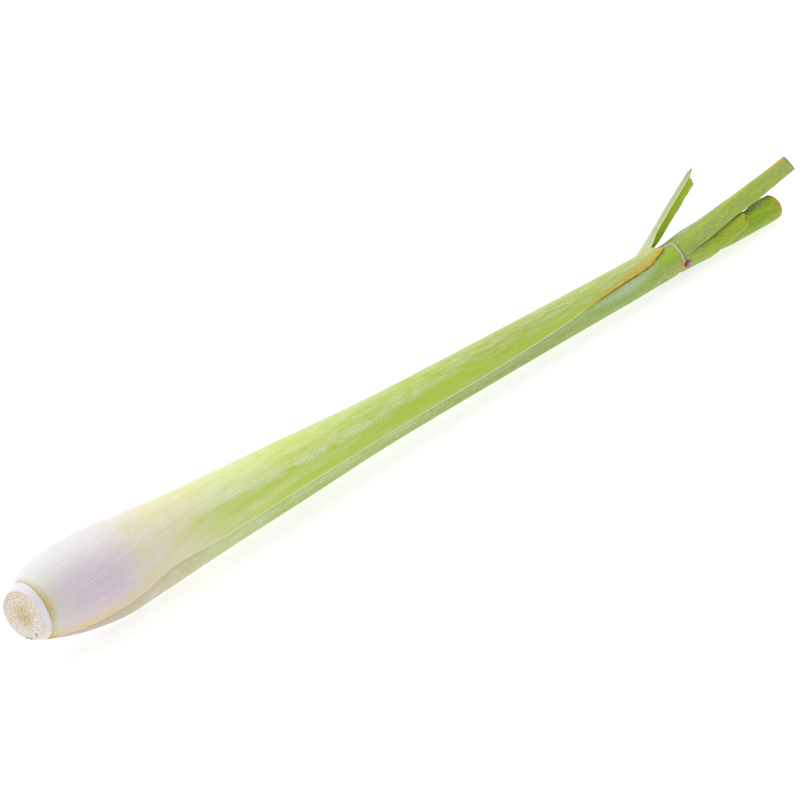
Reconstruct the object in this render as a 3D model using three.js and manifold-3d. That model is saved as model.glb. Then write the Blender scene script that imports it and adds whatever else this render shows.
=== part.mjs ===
// A cut lemongrass stalk, lying down: a short solid stem at the root end, and four leaves rolled round
// each other.
// Millimetres, +Z up. +X runs along the stalk from the cut root face to the leaf tips.
// The origin is on the surface it lies on, under the thickest place of the bulb.
// Each section is taken across X at a station, which is the distance from the cut root face.
// An angle in a section starts at +Y and turns towards +Z: 90 is up, 180 is -Y and 270 is down.
import * as THREE from "three";
import { mergeVertices } from "three/addons/utils/BufferGeometryUtils.js";
import Module from "manifold-3d";

const wasm = await Module();
wasm.setup();

// Driving dimensions
const bulbStation = 28; // where the bulb is thickest, and rests
const bulbRadius = 12;
const discRadius = 6.4; // the cut root face
const cutSlant = 0.09; // how much further in the cut goes for each millimetre towards -Y
const ringSlant = 0.13; // how much nearer the cut the outer leaf sits, for each millimetre towards ringSide
const ringSide = 137; // an angle
const neckRadius = 5.25; // the roll of sheaths at its top
const tipStation = 290; // where the innermost leaf rests
const bulbDip = 0.35; // how far each resting place is pressed flat
const tipAxisHeight = 4.9;
const gap = 0.3; // between neighbouring leaves
const coreSlack = 0.1; // more room round the stem's core
const leafAngle = 47; // the side that the blades spread to
const ringStations = [3, 5.5, 8, 11]; // where each leaf sits on the stem, outermost first

const { degToRad, smoothstep, lerp } = THREE.MathUtils;

// A smooth curve through a few [station, value] knots, with no overshoot between them
function profile(...knots) {
  const last = knots.length - 1;
  const rise = (i) => (knots[i + 1][1] - knots[i][1]) / (knots[i + 1][0] - knots[i][0]);
  const slopes = knots.map((_, i) => {
    if (i === 0) return rise(0);
    if (i === last) return rise(last - 1);
    const [before, after] = [rise(i - 1), rise(i)];
    return before * after > 0 ? (2 * before * after) / (before + after) : 0;
  });
  return (station) => {
    if (station <= knots[0][0]) return knots[0][1];
    if (station >= knots[last][0]) return knots[last][1];
    const i = knots.findIndex((knot) => knot[0] > station) - 1;
    const width = knots[i + 1][0] - knots[i][0];
    const t = (station - knots[i][0]) / width;
    const bend = t * t * (3 - 2 * t);
    const leave = t * (1 - t) * (1 - t) * width * slopes[i];
    const arrive = t * t * (t - 1) * width * slopes[i + 1];
    return lerp(knots[i][1], knots[i + 1][1], bend) + leave + arrive;
  };
}

// Outer radius of the whole roll: shoulder, bulb, long taper, neck
const rollRadius = profile(
  [0, discRadius],
  [1.5, 7.15],
  [3, 7.75],
  [5.5, 8.85],
  [10, 10.35],
  [17, 11.5],
  [bulbStation - 2, bulbRadius],
  [40, 11.1],
  [60, 9.85],
  [90, 8.5],
  [130, 6.72],
  [180, 5.87],
  [225, 5.37],
  [260, neckRadius],
);

// A point at a distance from a centre, in the direction of an angle
function polar([y, z], radius, angle) {
  const a = degToRad(angle);
  return [y + radius * Math.cos(a), z + radius * Math.sin(a)];
}

// The centre of the roll, as [y, z]. It is nearly straight: the foot swells to one side, and the stalk bows
// to the other
const lean = profile(
  [0, 0.4],
  [3, 0.45],
  [8, 0.95],
  [14, 0.7],
  [bulbStation, 0],
  [50, -0.35],
  [235, -0.35],
  [258, 0],
);
function axisAt(station) {
  const start = bulbRadius - bulbDip;
  const along = (station - bulbStation) / (tipStation - bulbStation);
  return polar([0, lerp(start, tipAxisHeight, along)], lean(station), leafAngle);
}

// Moves a point of the foot along the stalk, as the slant of the cut face and of the outer leaf's base ask
const slantAtCut = profile([0, 1], [2.7, 0]);
const slantAtRing = profile([0, 0], [2.7, 1], [3.2, 1], [5, 0]);
function slanted([station, y, z]) {
  const centre = axisAt(station);
  const [out, up] = [y - centre[0], z - centre[1]];
  const a = degToRad(ringSide);
  const nearRing = slantAtRing(station) * ringSlant * (out * Math.cos(a) + up * Math.sin(a));
  return [station - slantAtCut(station) * cutSlant * out - nearRing, y, z];
}

// Walls of the three outer leaves, and the outer radius that is left for each leaf and for the heart
const walls = [
  profile([50, 1], [110, 0.62]),
  profile([50, 0.8], [110, 0.62]),
  profile([50, 0.7], [110, 0.62]),
];
function layerRadius(layer, station) {
  const outside = walls.slice(0, layer);
  return rollRadius(station) - outside.reduce((sum, wall) => sum + wall(station) + gap, 0);
}

// The inner leaves lean out of the roll above the second leaf's collar, away from its blade
const heartShift = profile(
  [245.5, 0],
  [248, 0.25],
  [250, 0.45],
  [256, 0.8],
  [268, 1.5],
  [277, 1.8],
  [296, 1.75],
);
const heartCentre = (station) => polar(axisAt(station), heartShift(station), leafAngle + 180);

// Free edge of the outer leaf that faces -Y: it starts low on the bulb and climbs to the top of the neck
const outerFront = profile(
  [3, 234],
  [6, 220],
  [17, 202],
  [24, 193],
  [34, 181],
  [42, 175],
  [62, 180],
  [88, 178],
  [160, 172],
  [196, 158],
  [209, 147],
  [223, 138],
  [236, 130],
  [240, 119],
  [246, 102],
);

// A point of a folded blade's section: a keel at a place, and two halves that open in a direction
function foldedPoint(blade, station, across, depth) {
  const half = degToRad(blade.halfAngle);
  const width = across > 0 ? blade.frontWidth(station) : blade.rearWidth(station);
  const w = across * width;
  const reach = Math.hypot(w, blade.rounding);
  const tangent = [(Math.cos(half) * w) / reach, Math.sin(half)];
  const length = Math.hypot(...tangent);
  const into = Math.cos(half) * (reach - blade.rounding) + (depth * tangent[1]) / length;
  const side = Math.sin(half) * w - (depth * tangent[0]) / length;
  const keel = blade.keel(station);
  return polar(polar(keel, into, blade.opening), side, blade.opening - 90);
}

// A point of a leaf's section. across runs from -1 at the rear edge, through 0 at the midrib, to 1 at the
// front edge
function leafPoint(leaf, station, across, depth) {
  const edge = across > 0 ? leaf.front(station) : leaf.rear(station);
  const angle = leaf.midrib + Math.abs(across) * (edge - leaf.midrib);
  const sheath = polar(leaf.centre(station), leaf.radius(station, angle) - depth, angle);
  if (!leaf.blade) return sheath;
  const open = smoothstep(station, ...leaf.blade.opens);
  const folded = foldedPoint(leaf.blade, station, across, depth);
  return sheath.map((value, i) => lerp(value, folded[i], open));
}

// Closed solid from rows of outer and inner points: both faces, the two long edges and the two ends
function solidFromRows(outer, inner) {
  const rows = outer.length;
  const columns = outer[0].length;
  const vertices = [...outer.flat(), ...inner.flat()].flat();
  const at = (face, j, i) => (face * rows + j) * columns + i;
  const index = [];
  const quad = (a, b, c, d) => index.push(a, b, c, a, c, d);
  for (let j = 0; j < rows - 1; j++) {
    for (let i = 0; i < columns - 1; i++) {
      quad(at(0, j, i), at(0, j, i + 1), at(0, j + 1, i + 1), at(0, j + 1, i));
      index.push(at(1, j, i), at(1, j + 1, i + 1), at(1, j, i + 1));
      index.push(at(1, j, i), at(1, j + 1, i), at(1, j + 1, i + 1));
    }
    const end = columns - 1;
    quad(at(0, j, end), at(1, j, end), at(1, j + 1, end), at(0, j + 1, end));
    quad(at(0, j, 0), at(0, j + 1, 0), at(1, j + 1, 0), at(1, j, 0));
  }
  for (let i = 0; i < columns - 1; i++) {
    const top = rows - 1;
    quad(at(0, 0, i), at(1, 0, i), at(1, 0, i + 1), at(0, 0, i + 1));
    quad(at(0, top, i), at(0, top, i + 1), at(1, top, i + 1), at(1, top, i));
  }
  const geometry = new THREE.BufferGeometry();
  geometry.setAttribute("position", new THREE.Float32BufferAttribute(vertices, 3));
  geometry.setIndex(index);
  return geometry;
}

// A leaf as a thin solid. Rows past cutFrom are spread so that each column ends at its own station
function leafGeometry(leaf) {
  const { stations, columns, cutFrom, endAt, wall } = leaf;
  const end = stations[stations.length - 1];
  const face = (inward) =>
    stations.map((row) =>
      Array.from({ length: columns + 1 }, (_, i) => {
        const across = (2 * i) / columns - 1;
        const past = Math.max(0, row - cutFrom) / (end - cutFrom);
        const station = row + past * (endAt(across) - end);
        return slanted([station, ...leafPoint(leaf, station, across, inward * wall(station))]);
      }),
    );
  return solidFromRows(face(0), face(1));
}

function toManifold(geometry) {
  const bare = geometry.clone();
  bare.deleteAttribute("normal");
  bare.deleteAttribute("uv");
  const merged = mergeVertices(bare, 1e-4);
  return new wasm.Manifold(
    new wasm.Mesh({
      numProp: 3,
      vertProperties: merged.attributes.position.array,
      triVerts: new Uint32Array(merged.index.array),
    }),
  );
}

function fromManifold(solid) {
  const mesh = solid.getMesh();
  const geometry = new THREE.BufferGeometry();
  geometry.setAttribute("position", new THREE.BufferAttribute(mesh.vertProperties, 3));
  geometry.setIndex(new THREE.BufferAttribute(mesh.triVerts, 1));
  geometry.computeVertexNormals();
  return geometry;
}

// Presses the underside flat where it would reach below the surface
function restOnSurface(geometry) {
  const [length, width, depth] = [400, 80, 20];
  const slab = new THREE.BoxGeometry(length, width, depth).translate(length / 2 - 50, 0, -depth / 2);
  return fromManifold(toManifold(geometry).subtract(toManifold(slab)));
}

// Joins a small round ear to a leaf's collar
function withEar(geometry, station, [y, z], radius) {
  const ear = new THREE.SphereGeometry(radius, 10, 8).translate(station, y, z);
  return fromManifold(toManifold(geometry).add(toManifold(ear)));
}

// The solid stem: cut face, shoulder, and a stepped core that each leaf sits on
function stemGeometry() {
  const shoulder = [0.5, 1, 1.6, 2.2, ringStations[0] - gap];
  const outline = [
    [0, 0],
    [0, discRadius - 0.1],
    [0.15, discRadius + 0.1],
    ...shoulder.map((station) => [station, rollRadius(station)]),
  ];
  ringStations.slice(0, 3).forEach((ring, layer) => {
    const from = ring - gap;
    const to = ringStations[layer + 1] - gap;
    outline.push(...[from, to].map((station) => [station, layerRadius(layer + 1, station) - coreSlack]));
  });
  outline.push([ringStations[3] - gap, 0]);
  const points = outline.map(([station, radius]) => new THREE.Vector2(radius, station));
  const geometry = new THREE.LatheGeometry(points, 36).rotateZ(-Math.PI / 2);
  const position = geometry.attributes.position;
  for (let i = 0; i < position.count; i++) {
    const station = position.getX(i);
    const [y, z] = axisAt(station);
    position.setXYZ(i, ...slanted([station, position.getY(i) + y, position.getZ(i) + z]));
  }
  return geometry;
}

// The outermost leaf: a long sheath, and the folded stub of a blade that is torn off above its collar
const keelRise = profile([239, 0], [240.5, 0.5], [246, 2.65], [290, 20]);
function outerRadius(station, angle) {
  const off = (angle - leafAngle) / 45;
  return rollRadius(station) + keelRise(station) * Math.exp(-off * off);
}

function outerSheath() {
  const collar = profile([-1, 245.5], [-0.5, 244.5], [-0.15, 242.4], [0.35, 242.2], [0.6, 243], [1, 245.3]);
  return {
    midrib: leafAngle,
    columns: 24,
    stations: [
      3, 5, 7.5, 10, 13.5, 17, 21, 25, 29, 34, 40, 47, 55, 65, 77, 90, 106, 124, 142, 160, 178, 194, 208, 220,
      230, 235.5, 238.5, 240.5, 242.5, 244.5, 246,
    ],
    cutFrom: 235.5,
    endAt: collar,
    wall: walls[0],
    centre: axisAt,
    front: outerFront,
    rear: profile([3, -120], [6, -116], [236, -115], [247, -100]),
    radius: outerRadius,
  };
}

function outerStub() {
  // Torn end, from the rear edge to the front edge
  const rim = [275, 275.1, 274.6, 274.1, 273.9, 273.8, 273.9, 274.2, 275.1, 273.8, 272.7, 271.6, 271.1];
  return {
    midrib: leafAngle,
    columns: 12,
    stations: [232, 236, 239, 240.5, 242, 243.5, 245, 247, 249.5, 253, 258, 264, 270, 274],
    cutFrom: 262,
    endAt: (across) => rim[Math.round(((across + 1) / 2) * (rim.length - 1))],
    wall: profile([232, 0.3], [239, 0.42], [243, 0.62]),
    centre: axisAt,
    front: profile([232, 66], [242, 78]),
    rear: profile([232, 25], [242, 5]),
    radius: (station, angle) => outerRadius(station, angle) - profile([239, 0.12], [243, 0])(station),
    blade: {
      opens: [240, 248],
      opening: 199,
      halfAngle: 46,
      rounding: 0.5,
      frontWidth: profile([240, 3.2], [275, 2.7]),
      rearWidth: profile([240, 2.2], [244, 2.8], [247, 3.9], [250, 4.6], [253, 4.9], [275, 4.7]),
      keel: (station) => polar(axisAt(station), neckRadius + 0.1 + keelRise(station), leafAngle),
    },
  };
}

function outerLeafGeometry() {
  const whole = toManifold(leafGeometry(outerSheath())).add(toManifold(leafGeometry(outerStub())));
  return restOnSurface(fromManifold(whole));
}

// The second leaf: a sheath that shows beside the outer leaf's free edge, and the longest blade, cut straight
function secondLeaf() {
  const flush = 0.15; // how far its bare part lies below the outer leaf's surface
  const swell = 0.3; // how much it thickens where it is bare all round
  const risen = (station) => walls[0](station) + gap - flush;
  const edgeRise = 28; // degrees past the outer leaf's edge over which it comes up to the surface
  const keelOut = profile(
    [250, 4.6],
    [260, 5.5],
    [276, 6.68],
    [284, 7.05],
    [292, 7.75],
    [300, 8.5],
    [311, 9.7],
  );
  const keelNear = profile([250, 2.4], [311, 1]);
  const standsProud = profile([249, 0], [255, 0.45], [266, 0.8]);
  return {
    midrib: 75,
    columns: 24,
    stations: [
      5.5, 8, 11.5, 15, 19, 24, 30, 37, 45, 55, 66, 80, 96, 114, 134, 154, 174, 192, 206, 218, 228, 236, 241,
      244, 245, 246, 247, 247.6, 248.2, 248.8, 250, 251.6, 252.3, 253, 254, 256, 259, 263, 268, 273, 279, 287,
      296, 304, 309.7,
    ],
    cutFrom: 304,
    endAt: profile([-1, 309.6], [0, 309.5], [0.9, 308.7], [1, 308.5]),
    wall: walls[1],
    centre: axisAt,
    front: profile(
      [5.5, 238],
      [247, 238],
      [248.8, 203],
      [250.8, 182],
      [252, 160],
      [255.6, 149.5],
      [260, 146],
      [268, 138],
    ),
    rear: profile([5.5, -100], [244, -100], [247.6, -62], [252.3, -30], [268, -15]),
    radius: (station, angle) => {
      const shown = smoothstep(angle, outerFront(station), outerFront(station) + edgeRise);
      const late = smoothstep(angle, -10, 35) * (1 - smoothstep(angle, 80, 105));
      const bare = smoothstep(station, lerp(246, 248, late), lerp(254, 262, late));
      const proud = standsProud(station) * smoothstep(angle, 90, 165);
      return layerRadius(1, station) + risen(station) * Math.max(shown, bare) + bare * swell + proud;
    },
    blade: {
      opens: [254, 284],
      opening: 242,
      halfAngle: 36,
      rounding: 1.2,
      frontWidth: profile(
        [254, 8.5],
        [268, 7],
        [280, 6.45],
        [287, 6.5],
        [296, 6.2],
        [303, 6],
        [310, 5.9],
      ),
      rearWidth: profile([255, 9], [268, 7], [287, 5.6], [310, 4.9]),
      keel: (station) => {
        const out = polar(axisAt(station), keelOut(station), leafAngle);
        return polar(out, keelNear(station), leafAngle + 90);
      },
    },
  };
}

// The third leaf: a sheath whose edge crosses the underside to a collar, and a short end under the long
// blade
function thirdLeaf() {
  return {
    midrib: 60,
    columns: 18,
    stations: [
      8, 11.5, 15, 19, 24, 31, 39, 50, 64, 80, 100, 124, 150, 176, 200, 222, 238, 244, 247.5, 250, 252, 254.5,
      258, 262, 264.5, 267, 270, 274, 277.5, 279, 279.7, 280.1, 280.4, 280.7, 281.1, 284, 287,
    ],
    cutFrom: 284,
    endAt: () => 287,
    wall: walls[2],
    centre: heartCentre,
    front: profile(
      [262, 232],
      [264.5, 210],
      [268.7, 180],
      [272.3, 168],
      [278.9, 149],
      [280, 132],
      [281.1, 66],
      [287, 52],
    ),
    rear: profile([250, -108], [262, -62], [276, -58], [281.1, -10], [287, 8]),
    radius: profile(
      ...[8, 13, 20, 26, 40, 60, 90, 130, 180, 225].map((station) => [station, layerRadius(2, station)]),
      [245.5, layerRadius(2, 245.5)],
      [249.5, 3.75],
      [252, 4.25],
      [256, 4.4],
      [260, 4.3],
      [268, 4.5],
      [280, 4.65],
      [287, 4.75],
    ),
  };
}

// The innermost rolled leaf, with the heart of the stalk in it, as one solid. Its free edge stands out as a
// step
function innerLeafGeometry() {
  const columns = 24;
  const edgeAngle = 78;
  const slit = 2; // degrees on each side of the free edge
  const edgeStep = profile([280, 0], [286, 0.45]);
  const shell = walls[2];
  const radius = profile(
    ...[11, 15, 20, 26, 40, 60, 90, 130, 180, 225].map((station) => [station, layerRadius(3, station)]),
    [245.5, layerRadius(3, 245.5)],
    [249.5, 3.7 - shell(249.5) - gap],
    [256, 4.4 - shell(256) - gap],
    [272, 3.6],
    [278, 3.7],
    [287, 3.9],
    [294.6, 3.8],
    [295.6, 3.55],
  );
  const stations = [
    11, 15, 20, 26, 34, 46, 62, 82, 104, 130, 158, 186, 212, 234, 244, 247.5, 250, 252, 254.5, 258, 262, 267,
    272, 277.5, 281, 284, 287, 291, 294.6, 295.6,
  ];
  const vertices = [];
  const index = [];
  stations.forEach((station) => {
    for (let i = 0; i < columns; i++) {
      const turn = i / (columns - 1);
      const out = radius(station) - edgeStep(station) * (1 - Math.min(1, 2 * turn));
      vertices.push(station, ...polar(heartCentre(station), out, edgeAngle + slit + turn * (360 - 2 * slit)));
    }
  });
  const at = (j, i) => j * columns + (i % columns);
  const last = stations.length - 1;
  for (let j = 0; j < last; j++) {
    for (let i = 0; i < columns; i++) {
      index.push(at(j, i), at(j, i + 1), at(j + 1, i + 1), at(j, i), at(j + 1, i + 1), at(j + 1, i));
    }
  }
  [0, last].forEach((j) => {
    const middle = vertices.length / 3;
    vertices.push(stations[j], ...heartCentre(stations[j]));
    for (let i = 0; i < columns; i++) {
      if (j === 0) index.push(middle, at(j, i + 1), at(j, i));
      else index.push(middle, at(j, i), at(j, i + 1));
    }
  });
  const geometry = new THREE.BufferGeometry();
  geometry.setAttribute("position", new THREE.Float32BufferAttribute(vertices, 3));
  geometry.setIndex(index);
  return geometry;
}

function piece(name, geometry, colour, roughness) {
  const material = new THREE.MeshStandardMaterial({ color: colour, roughness, metalness: 0 });
  const mesh = new THREE.Mesh(geometry, material);
  mesh.name = name;
  return mesh;
}

// The round ear at the end of the second leaf's collar
const earRadius = 0.95;
const earStation = 250.9;
const earAngle = 181;
const secondEar = polar(axisAt(earStation), neckRadius + 0.35, earAngle);

const stalk = new THREE.Group();
stalk.position.x = -bulbStation;
stalk.add(
  piece("stem_base", stemGeometry(), "#e9e3cf", 0.6),
  piece("outer_leaf", outerLeafGeometry(), "#b9cf6a", 0.5),
  piece("second_leaf", withEar(leafGeometry(secondLeaf()), earStation, secondEar, earRadius), "#a3bf6b", 0.5),
  piece("third_leaf", restOnSurface(leafGeometry(thirdLeaf())), "#98bb4c", 0.5),
  piece("inner_leaf", restOnSurface(innerLeafGeometry()), "#8ab536", 0.45),
);

export default stalk;
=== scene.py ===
import math
from bisect import bisect_right
from functools import lru_cache
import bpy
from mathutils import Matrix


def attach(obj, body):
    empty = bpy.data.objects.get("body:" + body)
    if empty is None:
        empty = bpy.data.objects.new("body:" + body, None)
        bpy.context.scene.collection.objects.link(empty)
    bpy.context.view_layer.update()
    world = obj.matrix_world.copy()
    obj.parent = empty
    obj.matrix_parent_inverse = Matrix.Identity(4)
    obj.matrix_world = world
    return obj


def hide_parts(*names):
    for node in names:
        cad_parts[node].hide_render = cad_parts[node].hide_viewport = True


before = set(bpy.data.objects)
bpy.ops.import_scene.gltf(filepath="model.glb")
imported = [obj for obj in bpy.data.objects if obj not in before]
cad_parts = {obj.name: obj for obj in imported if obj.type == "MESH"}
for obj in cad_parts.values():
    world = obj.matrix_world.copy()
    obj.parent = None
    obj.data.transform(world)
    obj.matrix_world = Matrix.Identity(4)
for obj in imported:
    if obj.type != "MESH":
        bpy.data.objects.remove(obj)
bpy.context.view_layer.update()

from types import SimpleNamespace

import bmesh
import bpy
from mathutils import Vector, noise

scene = bpy.context.scene

# A lemongrass stalk, cut at the root and at the leaf tips, lying on its bulb.
# The shapes are worked out in millimetres. A station is the distance from the cut root face, along X.
# An angle in a section starts at +Y and turns towards +Z: 90 is up, 180 is -Y and 270 is down.
millimetre = 0.001

roll = {
    "bulbStation": 28,  # where the bulb is thickest, and where X is 0
    "bulbRadius": 12,
    "discRadius": 6.4,  # the cut root face
    "neckRadius": 5.25,
    "length": 310,
    "tipStation": 290,  # where the far end rests
    "tipAxisHeight": 4.9,  # the roll's axis above the floor there
    "bulbDip": 0.35,  # how far the bulb is pressed flat where it rests
    "leafAngle": 47,  # the side that the blades spread to
    "cutSlant": 0.09,  # how far the root face leans, for each millimetre across
    "ringSide": 137,  # the side where the ring of the outer leaf is nearest the root
    "ringSlant": 0.13,
    "gap": 0.3,  # between one leaf and the next
}


def lerp(a, b, t):
    return a + (b - a) * t


def smooth(value, low, high):
    t = min(1, max(0, (value - low) / (high - low)))
    return t * t * (3 - 2 * t)


def fade(value, low, high):
    return 1 - smooth(value, low, high)


def near(value, centre, reach):
    return fade(abs(value - centre), 0, reach)


def profile(*knots):
    # a smooth curve through a few (place, value) knots, with no overshoot between them
    places = [knot[0] for knot in knots]
    rise = [(b[1] - a[1]) / (b[0] - a[0]) for a, b in zip(knots, knots[1:])]
    slopes = [rise[0]]
    for before, after in zip(rise, rise[1:]):
        slopes.append(2 * before * after / (before + after) if before * after > 0 else 0)
    slopes.append(rise[-1])

    @lru_cache(maxsize=20000)
    def value(place):
        if place <= places[0]:
            return knots[0][1]
        if place >= places[-1]:
            return knots[-1][1]
        i = bisect_right(places, place) - 1
        width = places[i + 1] - places[i]
        t = (place - places[i]) / width
        bend = lerp(knots[i][1], knots[i + 1][1], t * t * (3 - 2 * t))
        leave = t * (1 - t) * (1 - t) * width * slopes[i]
        return bend + leave + t * t * (t - 1) * width * slopes[i + 1]

    return value


def polar(centre, radius, angle):
    # a point of a section, as its Y and Z
    a = math.radians(angle)
    return centre[0] + radius * math.cos(a), centre[1] + radius * math.sin(a)


rollRadius = profile(
    (0, roll["discRadius"]), (1.5, 7.15), (3, 7.75), (5.5, 8.85), (10, 10.35), (17, 11.5),
    (roll["bulbStation"] - 2, roll["bulbRadius"]), (40, 11.1), (60, 9.85), (90, 8.5), (130, 6.72),
    (180, 5.87), (225, 5.37), (260, roll["neckRadius"]),
)
# how far the axis is off its straight line, towards the blades
lean = profile((0, 0.4), (3, 0.45), (8, 0.95), (14, 0.7), (roll["bulbStation"], 0), (50, -0.35),
               (235, -0.35), (258, 0))
# how thick the three outer leaves are, from the outside in
walls = [profile((50, thick), (110, 0.62)) for thick in (1, 0.8, 0.7)]
# how far the heart is pushed to the other side where the blades open
heartShift = profile((245.5, 0), (248, 0.25), (250, 0.45), (256, 0.8), (268, 1.5), (277, 1.8), (296, 1.75))
# where along the stem each slant acts
slantAtCut = profile((0, 1), (2.7, 0))
slantAtRing = profile((0, 0), (2.7, 1), (3.2, 1), (5, 0))


@lru_cache(maxsize=20000)
def axisAt(station):
    # the middle of the roll
    along = (station - roll["bulbStation"]) / (roll["tipStation"] - roll["bulbStation"])
    height = lerp(roll["bulbRadius"] - roll["bulbDip"], roll["tipAxisHeight"], along)
    return polar((0, height), lean(station), roll["leafAngle"])


def heartCentre(station):
    return polar(axisAt(station), heartShift(station), roll["leafAngle"] + 180)


def layerRadius(layer, station):
    # how far out there is room inside that many leaves
    return rollRadius(station) - sum(wall(station) + roll["gap"] for wall in walls[:layer])


def placed(station, y, z):
    # a point of a section in the frame: slanted near the root, kept above the floor, and in metres
    centre = axisAt(station)
    out, up = y - centre[0], z - centre[1]
    ringSide = math.radians(roll["ringSide"])
    x = station - slantAtCut(station) * roll["cutSlant"] * out
    x -= slantAtRing(station) * roll["ringSlant"] * (out * math.cos(ringSide) + up * math.sin(ringSide))
    return Vector((x - roll["bulbStation"], y, max(z, 0))) * millimetre


def edgeOf(leaf, station, across):
    # the angle of the long edge on that side of the midrib
    return (leaf["front"] if across > 0 else leaf["rear"])(station)


def widthOf(blade, station, across):
    return (blade["frontWidth"] if across > 0 else blade["rearWidth"])(station)


def foldedPoint(blade, station, across, depth):
    # a folded blade's section: a keel, and two halves that open in a direction
    half = math.radians(blade["halfAngle"])
    away = across * widthOf(blade, station, across)
    reach = math.hypot(away, blade["rounding"])
    tangent = (math.cos(half) * away / reach, math.sin(half))
    length = math.hypot(*tangent)
    into = math.cos(half) * (reach - blade["rounding"]) + depth * tangent[1] / length
    side = math.sin(half) * away - depth * tangent[0] / length
    return polar(polar(blade["keel"](station), into, blade["opening"]), side, blade["opening"] - 90)


def leafPoint(leaf, station, across, depth):
    # a point of a leaf's wall, its angle in the sheath, and how far the blade has opened there
    angle = leaf["midrib"] + abs(across) * (edgeOf(leaf, station, across) - leaf["midrib"])
    blade = leaf.get("blade")
    sheath = polar(leaf["centre"](station), leaf["radius"](station, angle) - depth, angle)
    if not blade:
        return sheath, angle, 0
    opened = smooth(station, *blade["opens"])
    folded = foldedPoint(blade, station, across, depth)
    return tuple(lerp(a, b, opened) for a, b in zip(sheath, folded)), angle, opened


def stationsOf(*spans):
    # rows of a leaf: each span is from, to, and the step between its rows
    rows = []
    for start, end, step in spans:
        count = max(1, round((end - start) / step))
        rows += [lerp(start, end, i / count) for i in range(count)]
    return rows + [spans[-1][1]]


def marginDistance(leaf, station, across):
    # millimetres from the nearest long edge
    edge = edgeOf(leaf, station, across)
    arc = math.radians(abs(edge - leaf["midrib"])) * leaf["radius"](station, edge)
    blade = leaf.get("blade")
    if blade:
        arc = lerp(arc, widthOf(blade, station, across), smooth(station, *blade["opens"]))
    return (1 - abs(across)) * arc


# a leaf's long edges: how thick and how rounded they are, over how many millimetres the leaf thins
# towards them, and how closely the columns of points crowd there
leafEdge = {"edgeWall": 0.35, "edgeRound": 0.3, "thinOver": 2, "crowding": 1.6}


def leafPiece(name, node, leaf, material):
    # a flat grid, thickened by an extrusion, and each of its points moved to its place in the leaf
    rows, blade, brushes = leaf["stations"], leaf.get("blade"), leaf["paint"]
    bm = bmesh.new()
    bmesh.ops.create_grid(bm, x_segments=leaf["columns"], y_segments=len(rows) - 1, size=1)
    thick = bmesh.ops.extrude_face_region(bm, geom=bm.faces[:], use_keep_orig=True)["geom"]
    bmesh.ops.translate(bm, verts=[v for v in thick if isinstance(v, bmesh.types.BMVert)], vec=(0, 0, -1))
    bmesh.ops.recalc_face_normals(bm, faces=bm.faces[:])
    painted = {key: bm.verts.layers.float.new(key) for key in ("along", "inside", *brushes)}
    uv = bm.loops.layers.uv.new("veins")
    flat = {}
    for v in bm.verts:
        inside = v.co.z < -0.5
        row = rows[round((v.co.y + 1) / 2 * (len(rows) - 1))]
        across = math.copysign(1 - (1 - abs(v.co.x)) ** leaf["crowding"], v.co.x)
        past = max(0, row - leaf["cutFrom"]) / (rows[-1] - leaf["cutFrom"])
        station = row + past * (leaf["endAt"](across) - rows[-1])
        margin = marginDistance(leaf, station, across)
        rounding = 1 - min(margin / leaf["edgeRound"], 1)
        depth = leaf["edgeRound"] * 0.5 * (1 - math.sqrt(1 - rounding * rounding))
        if inside:
            thin = smooth(margin, 0, leaf["thinOver"])
            depth = lerp(leaf["edgeWall"], leaf["wall"](station), thin) - depth
        (y, z), angle, opened = leafPoint(leaf, station, across, depth)
        v.co = placed(station, y, z)
        turned = angle - leaf["midrib"] + leaf.get("twist", lambda station: 0)(station)
        u = math.radians(turned) * roll["neckRadius"]
        if blade:
            u = lerp(u, across * widthOf(blade, station, across), opened)
        flat[v] = (u, station)
        v[painted["along"]], v[painted["inside"]] = station, float(inside)
        at = SimpleNamespace(station=station, angle=angle, across=across, margin=margin)
        for key, brush in brushes.items():
            v[painted[key]] = brush(at)
    for face in bm.faces:
        for loop in face.loops:
            loop[uv].uv = flat[loop.vert]
    finishPiece(name, node, bm, [material])


def finishPiece(name, node, bm, materials):
    for face in bm.faces:
        face.smooth = True
    mesh = bpy.data.meshes.new(name)
    bm.to_mesh(mesh)
    bm.free()
    piece = bpy.data.objects.new(name, mesh)
    scene.collection.objects.link(piece)
    for material in materials:
        mesh.materials.append(material)
    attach(piece, "root")
    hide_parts(node)
    print(name, len(mesh.polygons), "faces")


def colour(hexText, alpha=1):
    # an sRGB hex colour as linear numbers
    parts = [int(hexText[i:i + 2], 16) / 255 for i in (1, 3, 5)]
    return (*[c / 12.92 if c <= 0.04045 else ((c + 0.055) / 1.055) ** 2.4 for c in parts], alpha)


def addNode(tree, kind, links=None, stops=None, **settings):
    # links: input name or number -> a value, a hex colour, or another node's output
    node = tree.nodes.new(kind)
    for key, value in settings.items():
        setattr(node, key, value)
    for key, value in (links or {}).items():
        socket = node.inputs[key]
        if isinstance(value, bpy.types.NodeSocket):
            tree.links.new(value, socket)
        else:
            socket.default_value = colour(value) if isinstance(value, str) else value
    for i, (place, tint) in enumerate(stops or []):
        elements = node.color_ramp.elements
        element = elements[i] if i < 2 else elements.new(place)
        element.position = place
        element.color = colour(tint)
    return node


def startMaterial(name, roughness, specular=0.35):
    material = bpy.data.materials.new(name)
    material.use_nodes = True
    tree = material.node_tree
    shader = tree.nodes["Principled BSDF"]
    shader.inputs["Roughness"].default_value = roughness
    shader.inputs["Specular IOR Level"].default_value = specular
    shader.inputs["IOR"].default_value = 1.45  # plant wax
    return material, tree, shader


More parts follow.
